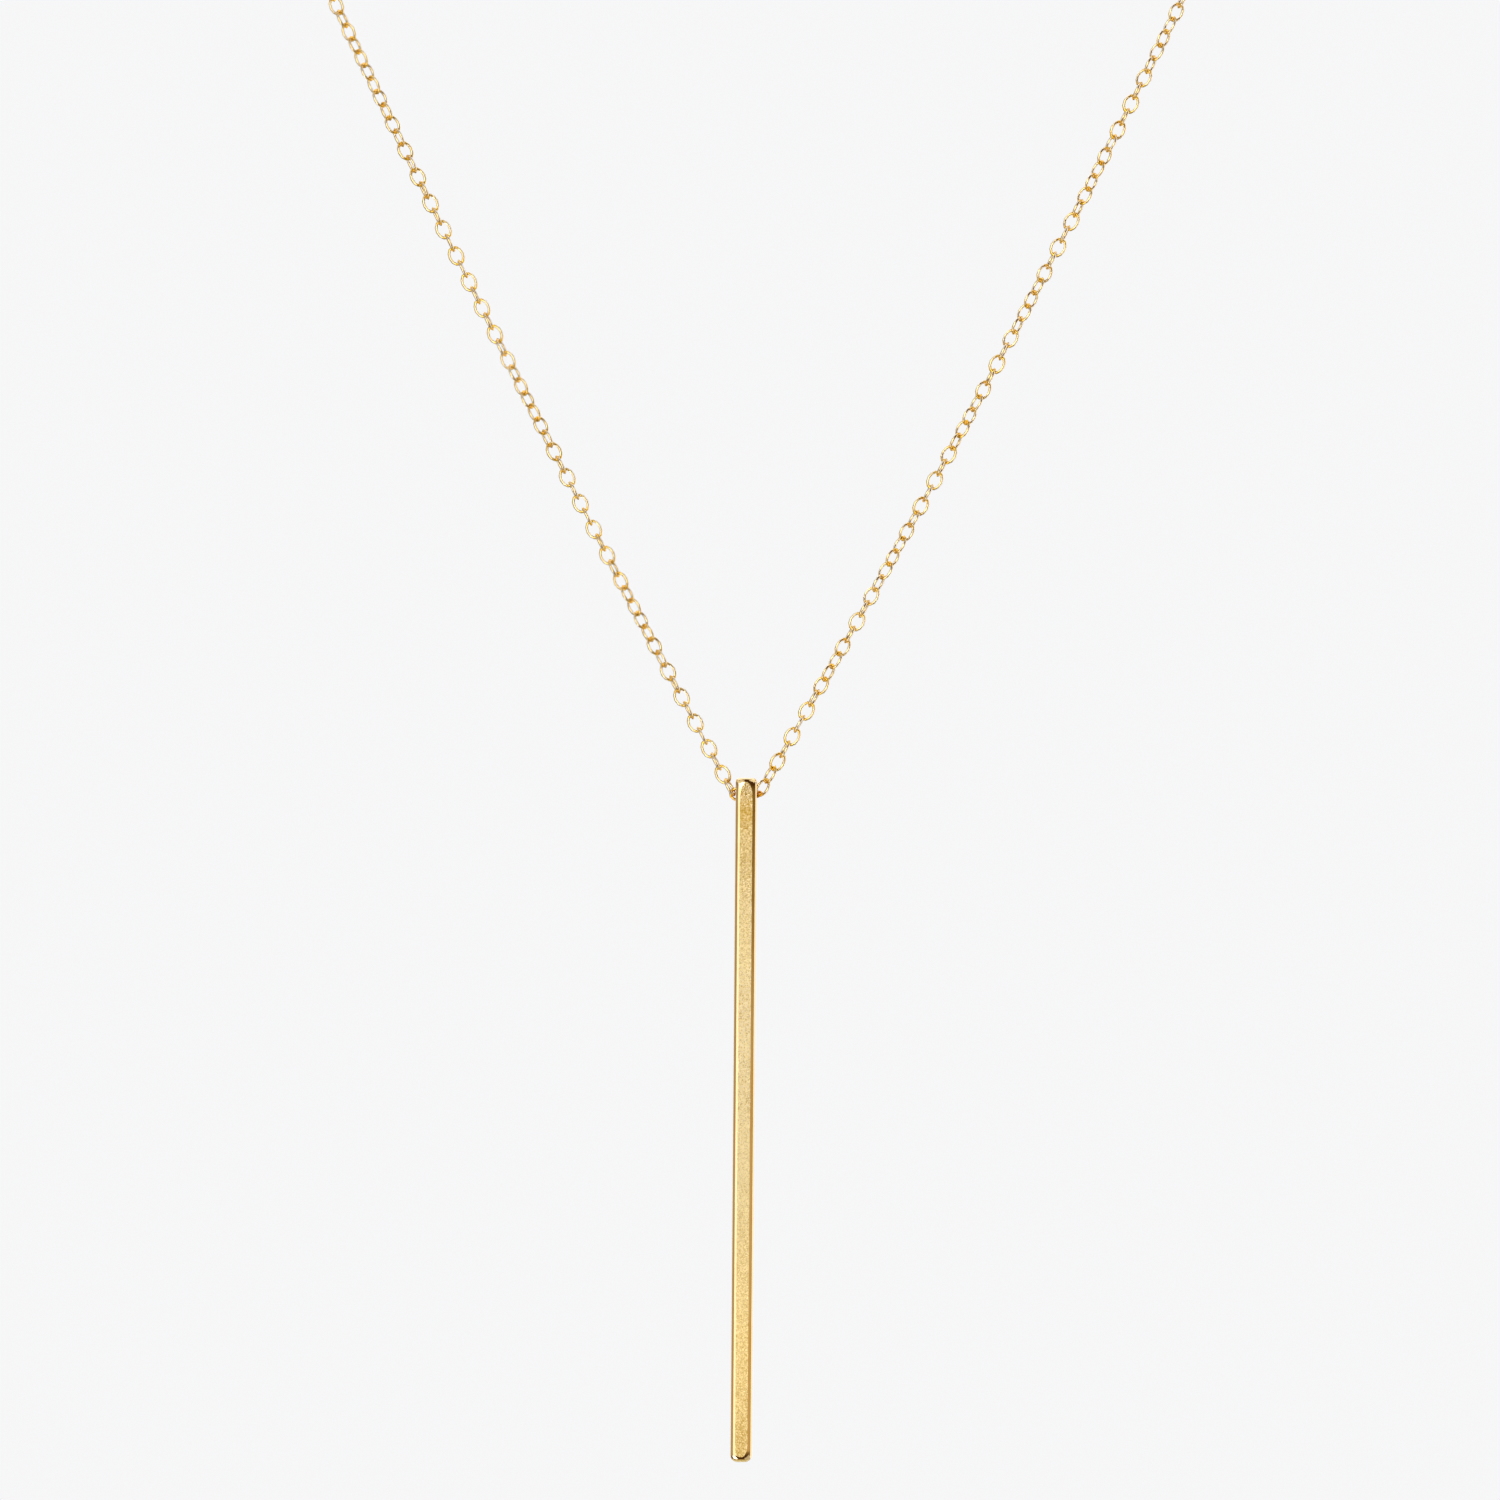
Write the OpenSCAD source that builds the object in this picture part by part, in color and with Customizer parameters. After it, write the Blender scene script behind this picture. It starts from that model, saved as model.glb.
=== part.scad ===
// Bar pendant on a fine oval-link chain.
// A slim upright bar hangs from a cross hole near its top. The chain runs through the hole from side to
// side, climbs on both sides in a V, and passes round the neck to a ring clasp at the nape.
// The origin is the centre of the clasp, where the necklace hangs on the nape. X runs across, the bar
// hangs in front at -Y, and Z points up. All lengths are in millimetres.

/* [Bar] */
// Width of the bar, from side to side
bar_w = 1.56; // [1.2:0.02:3]
// Length of the bar, from top to bottom
bar_l = 50; // [20:0.5:80]
// Metal left in front of the cross hole, and as much behind it
hole_wall = 0.25; // [0.2:0.05:1]
// Drop from the bar's top to the centre of the cross hole
hole_drop = 1.25; // [1.15:0.05:3]
// Bevel round each mouth of the cross hole
mouth_bevel = 0.12; // [0.06:0.02:0.14]
// Rounding along the bar's long edges
edge_r = 0.25; // [0.1:0.05:0.5]
// Rounding of the two upper corners
top_r = 0.3; // [0.1:0.05:0.6]
// Rounding of the two lower corners
foot_r = 0.48; // [0.1:0.02:0.6]

/* [Chain] */
// Thickness of the wire of a link
wire_d = 0.2; // [0.16:0.01:0.24]
// Width of a link over its wire
link_w = 1.2; // [1:0.05:1.4]
// Step from one link to the next
link_pitch = 1.07; // [0.95:0.01:1.5]
// Clear gap where two links hook
link_gap = 0.12; // [0.1:0.01:0.15]
// Clearance round the links in the cross hole
hole_clear = 0.15; // [0.12:0.01:0.3]
// Step of the links inside the cross hole, where they lie slack
hole_pitch = 0.95; // [0.92:0.01:0.98]
// Slow turn that the left strand gains with each link, in degrees
left_turn = 4.9; // [0:0.1:10]
// Slow turn that the right strand gains with each link, in degrees
right_turn = 9.8; // [0:0.1:12]

/* [Necklace] */
// Height of the V of open links over the cross hole
v_h = 60; // [20:1:75]
// Angle of the strands to the vertical at the foot of the V
v_foot_angle = 29.2; // [20:0.2:40]
// Angle of the strands to the vertical at the top of the V
v_top_angle = 25.4; // [15:0.2:35]
// Width of the loop round the neck
neck_w = 106; // [90:1:150]
// Depth of the loop, from the nape to the bar
neck_d = 102; // [90:1:150]
// Drop from the nape to the cross hole
neck_drop = 113; // [95:1:200]
// Drop from the nape to the sides of the neck
side_drop = 8; // [0:1:20]

/* [Clasp] */
// Width of the clasp's ring
clasp_d = 5; // [4:0.1:7]
// Thickness of the clasp's ring
clasp_wire = 0.9; // [0.6:0.05:1.2]
// Width of the small eye on each side of the ring
eye_d = 1.8; // [1.6:0.1:2.4]
// Thickness of the small eyes
eye_wire = 0.4; // [0.3:0.05:0.5]

/* [Hidden] */

// The cross hole passes the links, and the bar is as deep as the hole and its two walls
hole_d = link_w + 2 * hole_clear;
bar_d = hole_d + 2 * hole_wall;

// A link is longer than its step by the two wires that it hooks and the gap between them
link_l = link_pitch + 2 * wire_d + link_gap;
link_bend_r = (link_w - wire_d) / 2;
link_side_l = link_l - link_w;

// The first crossing outside the hole stands clear of the bar's side and a little over the hole's
// centre. The crossing at the hole's centre dips, and the outermost links in the hole are drawn out.
side_clear = 0.1;
crossing_rise = 0.1;
centre_dip = 0.05;
drawn_out = 0.03;
hole_links = ceil((bar_w / 2 + side_clear) / hole_pitch);
v_start = hole_links * hole_pitch;

// Number of the link that lies square to the front on each side, counted from the cross hole. The
// right strand's link in the hole has a roll of its own.
left_square = 4.2;
right_square = 6.1;
right_hole_roll = 45;

// A strand leans less and less towards the top of the V
foot_slope = tan(v_foot_angle);
v_bend = (foot_slope - tan(v_top_angle)) / (2 * (v_h - crossing_rise));
function strand_x(rise) = v_start + foot_slope * rise - v_bend * rise * rise;
function strand_slope(rise) = foot_slope - 2 * v_bend * rise;
strand_rises = [
    for (rise = 0; rise < v_h - crossing_rise; rise = rise + link_pitch / norm([1, strand_slope(rise)])) rise
];

// The crossings of one strand in the plane of the V, as [out, up] from the centre of the hole
crossings = concat(
    [for (k = [0:hole_links - 1]) [
        k * hole_pitch,
        -centre_dip + (crossing_rise + centre_dip) * k / hole_links
    ]],
    [for (rise = strand_rises) [strand_x(rise), crossing_rise + rise]]
);
link_count = len(crossings) - 1;
strand_end = crossings[link_count];
strand_heading = (strand_end - crossings[link_count - 1]) / norm(strand_end - crossings[link_count - 1]);

// Round edges are true circles, drawn in short steps
wire_steps = 40;
bend_steps = 40;
corner_steps = 48;

// The stretch round the neck is a plain tube as wide as a link. It starts where the last open link
// ends, passes the side of the neck and ends at the clasp's eye.
tube_r = link_w / 2;
tube_sides = 8;
tube_gap = 0.15;
stretch_rings = 20;
link_overhang = (link_l - link_pitch) / 2;
side_heading = [0, 0.97, 0.24];
// Reach of the curve before and after the side of the neck, and at both ends, as shares of the
// distance that it spans
end_pull = 0.36;
side_pull = 0.4;
function across(outline) = [outline[0], 0, outline[1]];
tube_start = [0, -neck_d, -neck_drop]
    + across(strand_end + strand_heading * (link_overhang + tube_gap));
neck_side = [neck_w / 2, -neck_d / 2, -side_drop];
eye_centre = clasp_d / 2 + eye_d / 2 - eye_wire / 2;
tube_end = [eye_centre + eye_d / 2 + tube_gap, 0, 0];

function unit(v) = v / norm(v);
function curve(a, a_pull, b_pull, b, t) =
    pow(1 - t, 3) * a + 3 * pow(1 - t, 2) * t * a_pull + 3 * (1 - t) * t * t * b_pull + pow(t, 3) * b;
// One stretch of the route from a to b, leaving a along a_way and reaching b along b_way
function stretch(a, a_way, a_share, b, b_way, b_share, steps) = [
    for (k = [0:steps]) curve(
        a,
        a + unit(a_way) * a_share * norm(b - a),
        b - unit(b_way) * b_share * norm(b - a),
        b,
        k / steps
    )
];
front_stretch = stretch(
    tube_start, across(strand_heading), end_pull, neck_side, side_heading, side_pull, stretch_rings
);
nape_stretch = stretch(neck_side, side_heading, side_pull, tube_end, [-1, 0, 0], end_pull, stretch_rings - 1);
back_route = concat(front_stretch, [for (k = [1:len(nape_stretch) - 1]) nape_stretch[k]]);

// Heading of the route at one of its points, and the ring of the tube there. The ring's first
// direction points away from the middle of the neck.
function heading(route, k) =
    k == 0 ? across(strand_heading)
    : k == len(route) - 1 ? [-1, 0, 0]
    : unit(route[k + 1] - route[k - 1]);
function outward(point, way) =
    let (away = unit([point[0], point[1] + neck_d / 2, 0]))
    unit(away - way * (away * way));
function ring(point, way) =
    let (out = outward(point, way), over = cross(way, out))
    [for (k = [0:tube_sides - 1])
        point + tube_r * (cos(360 * (k + 0.5) / tube_sides) * out + sin(360 * (k + 0.5) / tube_sides) * over)
    ];

// Flat shape with round corners: the upper two of one radius and the lower two of another
module round_face(w, h, upper_r, lower_r) {
    difference() {
        square([w, h], center = true);
        for (side = [-1, 1]) {
            corner_waste(side * w / 2, h / 2, side, 1, upper_r);
            corner_waste(side * w / 2, -h / 2, side, -1, lower_r);
        }
    }
}

// What a round corner takes away, at the corner x, y that points towards x_way, y_way
module corner_waste(x, y, x_way, y_way, r) {
    over = 1;
    difference() {
        translate([x + x_way * (over - r) / 2, y + y_way * (over - r) / 2])
            square(r + over, center = true);
        translate([x - x_way * r, y - y_way * r]) circle(r, $fn = corner_steps);
    }
}

// The bar's outline from the front, its outline from the side and its section from above meet in one
// block, and the cross hole with its two bevelled mouths goes through it from side to side
module bar() {
    color("goldenrod")
    translate([0, -neck_d, -neck_drop])
    difference() {
        translate([0, 0, hole_drop - bar_l / 2])
        intersection() {
            rotate([90, 0, 0])
                linear_extrude(height = bar_d + 2, center = true)
                round_face(bar_w, bar_l, top_r, foot_r);
            rotate([90, 0, 90])
                linear_extrude(height = bar_w + 2, center = true)
                round_face(bar_d, bar_l, edge_r, edge_r);
            linear_extrude(height = bar_l + 2, center = true)
                round_face(bar_w, bar_d, edge_r, edge_r);
        }
        rotate([0, 90, 0])
            cylinder(d = hole_d, h = bar_w + 2, center = true, $fn = corner_steps);
        for (side = [-1, 1])
            translate([side * (bar_w / 2 - mouth_bevel), 0, 0])
            rotate([0, side * 90, 0])
            cylinder(r1 = hole_d / 2, r2 = hole_d / 2 + 2 * mouth_bevel, h = 2 * mouth_bevel, $fn = corner_steps);
    }
}

// One oval link round its own centre, lying flat with its length along X
module link() {
    for (end = [0, 180])
        rotate([0, 0, end])
        translate([link_side_l / 2, 0, 0])
        rotate([0, 0, -90])
        rotate_extrude(angle = 180, $fn = bend_steps)
        translate([link_bend_r, 0])
        circle(d = wire_d, $fn = wire_steps);
    for (side = [-1, 1])
        translate([0, side * link_bend_r, 0])
        rotate([0, 90, 0])
        cylinder(d = wire_d, h = link_side_l, center = true, $fn = wire_steps);
}

// Roll of a link about its own length, from lying flat. Links alternate by a quarter turn, and the
// slow turn of the strand comes on top.
function left_roll(k) = 90 - 90 * k + left_turn * (k - left_square);
function right_roll(k) = k < hole_links ? right_hole_roll - 90 * (hole_links - 1 - k)
    : -90 * (k - hole_links + 1) - right_turn * (k - right_square);

// The open links of one strand, from the cross hole upwards. side is -1 on the left and 1 on the right.
module strand(side) {
    for (k = [0:link_count - 1]) {
        from = crossings[k];
        to = crossings[k + 1];
        along = to - from;
        middle = (from + to) / 2 + unit(along) * (k == hole_links - 1 ? drawn_out : 0);
        translate([side * middle[0], 0, middle[1]])
            rotate([0, -atan2(along[1], side * along[0]), 0])
            rotate([side < 0 ? left_roll(k) : right_roll(k), 0, 0])
            link();
    }
}

module chain_front() {
    color("gold")
    translate([0, -neck_d, -neck_drop]) {
        strand(-1);
        strand(1);
    }
}

// The tube along the route round one side of the neck
module neck_tube() {
    rings = len(back_route);
    points = [for (k = [0:rings - 1]) each ring(back_route[k], heading(back_route, k))];
    walls = [
        for (k = [0:rings - 2], j = [0:tube_sides - 1])
        let (next = (j + 1) % tube_sides, low = k * tube_sides, high = (k + 1) * tube_sides)
        each [[low + j, high + j, high + next], [low + j, high + next, low + next]]
    ];
    start_cap = [for (j = [0:tube_sides - 1]) j];
    end_cap = [for (j = [tube_sides - 1:-1:0]) (rings - 1) * tube_sides + j];
    polyhedron(points, concat(walls, [start_cap, end_cap]));
}

module chain_back() {
    color("gold") {
        neck_tube();
        mirror([1, 0, 0]) neck_tube();
    }
}

// A plain ring of round wire, standing upright and facing the nape
module upright_ring(width, wire) {
    rotate([90, 0, 0])
        rotate_extrude($fn = corner_steps)
        translate([(width - wire) / 2, 0])
        circle(d = wire, $fn = wire_steps);
}

// The ring clasp, one soldered piece: a small eye sits half in the ring on each side, for the chain's
// end links
module clasp() {
    color("gold") {
        upright_ring(clasp_d, clasp_wire);
        for (side = [-1, 1])
            translate([side * eye_centre, 0, 0]) upright_ring(eye_d, eye_wire);
    }
}

bar();
chain_front();
chain_back();
clasp();
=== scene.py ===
"""Bar pendant on a fine oval-link chain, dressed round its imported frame.

All lengths are in metres, on the frame's own axes: X runs across, the bar hangs in front at -Y, and Z points
up. The origin is the centre of the clasp, where the necklace hangs on the nape.
"""

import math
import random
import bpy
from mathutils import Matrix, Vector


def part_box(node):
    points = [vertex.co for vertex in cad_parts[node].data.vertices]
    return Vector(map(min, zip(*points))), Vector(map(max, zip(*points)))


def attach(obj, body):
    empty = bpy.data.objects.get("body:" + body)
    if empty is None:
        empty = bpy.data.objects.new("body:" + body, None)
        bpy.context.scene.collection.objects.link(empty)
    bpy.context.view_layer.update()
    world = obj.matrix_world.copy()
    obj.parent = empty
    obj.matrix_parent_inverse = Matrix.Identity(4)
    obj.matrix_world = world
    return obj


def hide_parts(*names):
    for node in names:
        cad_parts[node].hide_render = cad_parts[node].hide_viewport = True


bl_info = {
    "name": "Bar Pendant",
    "version": (1, 0, 0),
    "blender": (4, 5, 0),
    "location": "View3D > Sidebar > Pendant",
    "description": "Builds a gold bar pendant and its link chain round the packed frame",
    "category": "Object",
}

from bisect import bisect_left

import bmesh
import bpy
from bpy.props import FloatProperty, FloatVectorProperty, IntProperty, PointerProperty
from mathutils import Matrix, Vector

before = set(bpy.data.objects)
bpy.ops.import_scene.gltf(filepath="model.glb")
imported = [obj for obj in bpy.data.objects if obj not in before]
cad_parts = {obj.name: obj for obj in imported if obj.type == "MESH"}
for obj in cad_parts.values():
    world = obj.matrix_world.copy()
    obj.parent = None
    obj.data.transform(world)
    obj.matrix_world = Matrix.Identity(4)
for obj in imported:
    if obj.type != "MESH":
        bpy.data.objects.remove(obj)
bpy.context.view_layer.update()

MM = 0.001

# Two places nearer than this are one place
SAME_PLACE = 0.001 * MM

# The bar's block comes from the frame, and the cross hole lies a set drop under its top
BAR_LOW, BAR_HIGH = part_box("bar")
BAR_MIDDLE_Y = (BAR_LOW.y + BAR_HIGH.y) / 2
HOLE_DROP = 1.25 * MM
HOLE_CENTRE = Vector((0, BAR_MIDDLE_Y, BAR_HIGH.z - HOLE_DROP))

# Radii across and up of the satin face's corners, by their side (-1 is left) and their end (-1 is the foot)
SATIN_CORNERS = {
    (-1, 1): (0.46 * MM, 1.3 * MM),
    (1, 1): (0.45 * MM, 1.05 * MM),
    (1, -1): (0.48 * MM, 0.85 * MM),
    (-1, -1): (0.43 * MM, 0.55 * MM),
}

# How finely the bar is built
CORNER_STEPS = 10
ARC_STEPS = 60
RIM_RINGS = 9
ROW_STEPS = 6
COLUMN_STEP = 0.12 * MM
COLUMNS_EACH_SIDE = 3
CUT_THRESHOLD = 0.0001 * MM
HOLE_SIDES = 44
MOUTH_STEPS = 6

# The route of the chain, as the part's source has it
HOLE_PITCH = 0.95 * MM
CROSSING_RISE = 0.1 * MM
CENTRE_DIP = 0.05 * MM
DRAWN_OUT = 0.03 * MM
V_HEIGHT = 60 * MM
V_FOOT_ANGLE = 29.2
V_TOP_ANGLE = 25.4
NECK_SIDE = Vector((53, -51, -8)) * MM
SIDE_HEADING = Vector((0, 0.97, 0.24)).normalized()
END_PULL = 0.36
SIDE_PULL = 0.4
STRETCH_STEPS = 400
TUBE_START_REACH = 0.41 * MM
TUBE_END_REACH = 4.25 * MM

# The V leans to the right, as in the picture: its slope at the foot, and how fast that falls off upwards
V_LEAN = 0.0091
V_LEAN_FALL = 0.000072 / MM

# How far each strand has turned about its own length, in degrees, at some of its links
LEFT_TURNS = [
    (0, -20), (5, 0), (9, 12), (14, 40), (18, 71), (21, 88), (26, 100), (30, 130), (36, 168), (42, 180),
    (49, 198), (56, 225), (64, 258),
]
RIGHT_TURNS = [
    (0, -50), (5, 0), (8, 15), (10.5, 45), (13.5, 88), (18.5, 135), (25, 180), (34, 270), (43, 360),
    (54, 450), (64, 545),
]
RIGHT_HOLE_ROLL = 22

# Links have tones from 0 to 1, and the two in the cross hole go beyond, towards the painted shade and
# reflection of the hole link
LEFT_HOLE_SHADE = 1.6
RIGHT_HOLE_SHADE = 3.0

# Points round a link and round its wire, and how far a link round the neck may lie off its turn, in radians
LINK_STEPS = 12
WIRE_SIDES = 5
LOOSE_TURN = 0.07

# The clasp's ring and its two eyes, as the part's source has them
CLASP_WIDTH = 5 * MM
CLASP_WIRE = 0.9 * MM
EYE_WIDTH = 1.8 * MM
EYE_WIRE = 0.4 * MM
EYE_CENTRE = (CLASP_WIDTH + EYE_WIDTH - EYE_WIRE) / 2

# The gap in the clasp's tube, and the thinner bolt that runs past both its ends, as angles round the ring
RING_STEPS = 60
GAP_ENDS = (48, 84)
BOLT_ENDS = (42, 90)
RING_END_REACH = 4
BOLT_THINNER = 0.3 * MM
TUBE_END_BEVEL = 0.06 * MM

# The thumb lever, and how much each step of its head grows and how many millimetres it rises
LEVER_ANGLE = 112
LEVER_RADIUS = 0.16 * MM
LEVER_STEM = 0.5 * MM
LEVER_REACH = CLASP_WIDTH / 2 + 0.05 * MM
LEVER_HEAD = ((1.0, 0.02), (1.5, 0.04), (1.15, 0.1), (1.0, 0.12), (0.8, 0.06))

# The satin face from foot to top: place, then depth of colour, relief of the grain and its contrast
SATIN_LEVELS = (
    (0, (0.73, 0.3, 0.5)), (0.045, (0.7, 0.3, 0.5)), (0.09, (0.55, 0.3, 0.5)),
    (0.19, (0.5, 0.3, 0.45)), (0.41, (0.08, 1.0, 0.55)), (0.63, (0.02, 1.0, 0.9)),
    (0.75, (0.15, 0.8, 0.58)), (0.82, (0.26, 0.8, 0.65)), (0.88, (0.58, 0.7, 0.55)),
    (0.92, (0.63, 0.6, 0.62)), (0.95, (0.88, 0.35, 0.4)), (0.97, (0.86, 0.6, 0.75)), (1, (0.97, 1, 1)),
)

# The picture: its width at the bar, and where the centre of the cross hole falls in it
PICTURE_SIDE = 1500
PICTURE_WIDTH = 109.8 * MM
HOLE_PIXEL = (746.25, 795.0)
SENSOR_WIDTH = 36

# The lights stand round this height at one distance
LIGHT_HEIGHT = -110 * MM
LIGHT_DISTANCE = 0.9
WHITE_LIGHT = (1, 1, 1.08)
COOL_LIGHT = (1, 1, 1.25)
WARM_LIGHT = (1, 0.8, 0.62)

# Name, azimuth and rise as in compass, width and height in metres, strength and colour of each light
LIGHTS = (
    ("front_card", -3, 2, 0.4, 0.7, 2.65, WHITE_LIGHT),
    ("key_light", -34, -1, 0.66, 0.95, 1.2, COOL_LIGHT),
    ("high_spot", -28, 17, 0.24, 0.34, 2.8, COOL_LIGHT),
    ("low_spot", -47, -43, 0.45, 0.42, 3.0, COOL_LIGHT),
    ("high_left", -80, 44, 1.6, 0.55, 0.75, WHITE_LIGHT),
    ("left_fill", -81, 0, 0.9, 0.9, 0.2, COOL_LIGHT),
    ("left_card", -142, 0, 1.05, 1.6, 0.4, WHITE_LIGHT),
    ("high_right", 71, 47, 0.82, 0.5, 0.9, WHITE_LIGHT),
    ("low_right", 70, -45, 0.88, 0.52, 0.5, WHITE_LIGHT),
    ("low_fill", 42, -10, 0.9, 0.22, 0.34, WARM_LIGHT),
    ("right_card", 118, -2, 1.5, 1.5, 1.0, COOL_LIGHT),
    ("back_card", 180, 5, 0.6, 0.85, 1.2, WHITE_LIGHT),
    ("top_light", 180, 66, 1.1, 1.0, 1.3, COOL_LIGHT),
)

# The floor fades out between two distances from its centre
BACKDROP_COLOUR = (0.99, 0.99, 1)
FLOOR_COLOUR = (0.94, 0.985, 0.86)
FLOOR_CENTRE = Vector((0, -20, 0)) * MM
FLOOR_RADIUS = 130 * MM
FLOOR_DROP = 100 * MM
FLOOR_FADE = (60 * MM, 125 * MM)


def length_prop(name, description, default, low, high):
    """A property that holds a length, which is given here in millimetres."""
    return FloatProperty(
        name=name, description=description, default=default * MM, min=low * MM, max=high * MM,
        unit="LENGTH", precision=5,
    )


def colour_prop(name, description, default):
    """A property that holds a colour."""
    return FloatVectorProperty(
        name=name, description=description, default=default, size=3, min=0, max=1, subtype="COLOR",
    )


class BarSizes(bpy.types.PropertyGroup):
    """Sizes of the bar's satin face, polished rim and cross hole"""

    left_rim: length_prop(
        "Left rim", "Width of the polished rim on the left of the satin face", 0.33, 0.1, 0.6
    )
    right_rim: length_prop(
        "Right rim", "Width of the polished rim on the right of the satin face", 0.32, 0.1, 0.6
    )
    top_rim: length_prop("Top rim", "Height of the polished rim over the satin face", 0.3, 0.05, 1)
    foot_rim: length_prop("Foot rim", "Height of the polished rim under the satin face", 0.39, 0.05, 1)
    rim_fall: FloatProperty(
        name="Rim fall", description="How far the polished rim falls back for each measure of its width",
        default=0.95, min=0.3, max=1.2, subtype="FACTOR",
    )
    rim_crease: FloatProperty(
        name="Rim crease", description="Angle at which the rim leaves the satin face",
        default=math.radians(12), min=0, max=math.radians(40), subtype="ANGLE",
    )
    top_corner: length_prop("Top corners", "Radius of the bar's two upper corners", 0.3, 0.05, 0.7)
    foot_corner: length_prop("Foot corners", "Radius of the bar's two lower corners", 0.48, 0.05, 0.7)
    hole_width: length_prop("Cross hole", "Width of the hole that the chain runs through", 1.5, 0.5, 1.8)
    hole_mouth: length_prop("Hole mouth", "Rounding of both mouths of the cross hole", 0.08, 0.01, 0.2)


class ChainSizes(bpy.types.PropertyGroup):
    """Sizes of one link of the chain"""

    wire: length_prop("Wire", "Thickness of the wire of a link", 0.225, 0.1, 0.3)
    width: length_prop("Link width", "Width of a link over its wire", 1.2, 0.8, 1.4)
    pitch: length_prop("Pitch", "Step from one link to the next", 1.07, 0.8, 1.5)
    slack: length_prop("Slack", "Clear gap where two links hook", 0.01, 0, 0.1)
    seed: IntProperty(
        name="Seed", description="Start of the small differences between the links",
        default=7, min=0,
    )


class GoldColours(bpy.types.PropertyGroup):
    """Colours of the gold finishes and their deep tones, with the painted shade, sheen and glints among them
    """

    satin: colour_prop("Satin gold", "Colour of the bar's blasted faces", (1.0, 0.85, 0.4))
    # Besides the deeper patches of the satin, this colour is painted shade in the pits of its grain.
    satin_deep_and_pit_shade: colour_prop("Deep satin gold", "Colour in the pits of the blasted faces", (0.47, 0.29, 0.04))
    # The bright crystals of the blasted faces are painted glints.
    painted_glints: colour_prop("Flecks", "Colour of the bright crystals in the blasted faces", (1.0, 0.88, 0.55))
    polished: colour_prop("Polished gold", "Colour of the bar's rims and of the clasp", (0.95, 0.75, 0.36))
    polished_deep: colour_prop(
        "Deep polished gold", "Colour of the older patches of the polish", (0.9, 0.65, 0.24)
    )
    # The pale colour along the wire's sides is a painted sheen.
    chain: colour_prop("Chain gold", "Colour of the links, along the wire's sides", (1.0, 0.92, 0.68))
    chain_middle: colour_prop(
        "Middle of the wire", "Colour of the links, along the wire's middle", (0.86, 0.69, 0.3)
    )
    # Besides each link's random deeper tone, this colour is painted shade and gold-on-gold reflection where
    # the links hook.
    chain_deep_and_hook_shade: colour_prop(
        "Deep chain gold", "Colour where the links rub in their hooks", (0.93, 0.58, 0.045)
    )
    # This colour is painted shade and painted gold-on-gold reflection on the two links in the cross hole.
    hole_link_shade: colour_prop(
        "Hole link", "Colour of the two links in the cross hole, where gold mirrors gold", (0.78, 0.36, 0.0)
    )


class StudioSettings(bpy.types.PropertyGroup):
    """Camera and light of the studio"""

    focal_length: FloatProperty(
        name="Focal length", description="Focal length of the camera, in millimetres",
        default=135, min=20, max=400,
    )
    camera_roll: FloatProperty(
        name="Camera roll", description="Lean of the camera to its left",
        default=math.radians(0.45), min=-0.5, max=0.5, subtype="ANGLE",
    )
    backdrop: FloatProperty(
        name="Backdrop", description="Brightness of the backdrop behind the pendant",
        default=0.935, min=0, max=2,
    )
    room: colour_prop("Room", "Colour of the dim room at eye level, between the lights", (0.2, 0.125, 0.04))
    low_room: colour_prop("Low room", "Colour of the room just below eye level", (0.25, 0.16, 0.06))
    dark: colour_prop(
        "Dark bands", "Colour of the dark bands of the room above and below eye level", (0.07, 0.028, 0.006)
    )
    ground: colour_prop(
        "Ground", "Colour of the pale ground that the gold mirrors from far below", (0.5, 0.42, 0.25)
    )


def select_only(*pieces):
    """Leaves only these objects selected, the last of them active."""
    bpy.ops.object.select_all(action="DESELECT")
    for piece in pieces:
        piece.select_set(True)
        bpy.context.view_layer.objects.active = piece


def name_piece(piece, name):
    """Gives an object and its data one name."""
    piece.name = name
    piece.data.name = name


def add_shape(name, add, **settings):
    """Adds one mesh primitive, names it, and lays its place into its mesh."""
    bpy.ops.object.select_all(action="DESELECT")
    add(**settings)
    piece = bpy.context.object
    name_piece(piece, name)
    bpy.ops.object.transform_apply(location=True, rotation=True, scale=True)
    return piece


def join_pieces(name, pieces):
    """Joins the pieces to one of this name."""
    select_only(*pieces)
    bpy.ops.object.join()
    name_piece(bpy.context.object, name)
    return bpy.context.object


def set_materials(piece, *materials):
    """Gives the piece these materials and no others."""
    piece.data.materials.clear()
    for material in materials:
        piece.data.materials.append(material)


def pick(piece, kind, test):
    """In edit mode, selects only the vertices, edges or faces that pass the test."""
    bpy.ops.mesh.select_mode(type={"verts": "VERT", "edges": "EDGE", "faces": "FACE"}[kind])
    bpy.ops.mesh.select_all(action="DESELECT")
    shape = bmesh.from_edit_mesh(piece.data)
    found = [part for part in getattr(shape, kind) if test(part)]
    if not found:
        raise RuntimeError(f"{piece.name}: none of its {kind} pass the test")
    for part in found:
        part.select_set(True)
    shape.select_flush_mode()
    bmesh.update_edit_mesh(piece.data)


class Path:
    """A line through close points, measured along its length."""

    def __init__(self, points):
        self.points = points
        self.reach = [0]
        for a, b in zip(points, points[1:]):
            self.reach.append(self.reach[-1] + (b - a).length)
        self.length = self.reach[-1]

    def at(self, gone):
        """The place that lies this far along the line."""
        k = min(bisect_left(self.reach, gone, 1), len(self.points) - 1)
        step = self.reach[k] - self.reach[k - 1]
        share = (gone - self.reach[k - 1]) / step if step else 0
        return self.points[k - 1].lerp(self.points[k], share)

    def nearest(self, spot):
        """Distance from the spot to the line, and how far along the line the nearest place lies."""
        best = (math.inf, 0)
        for a, b, gone in zip(self.points, self.points[1:], self.reach):
            way = b - a
            if way.length:
                share = min(1, max(0, (spot - a).dot(way) / way.length_squared))
                best = min(best, ((a + way * share - spot).length, gone + share * way.length))
        return best


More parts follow.
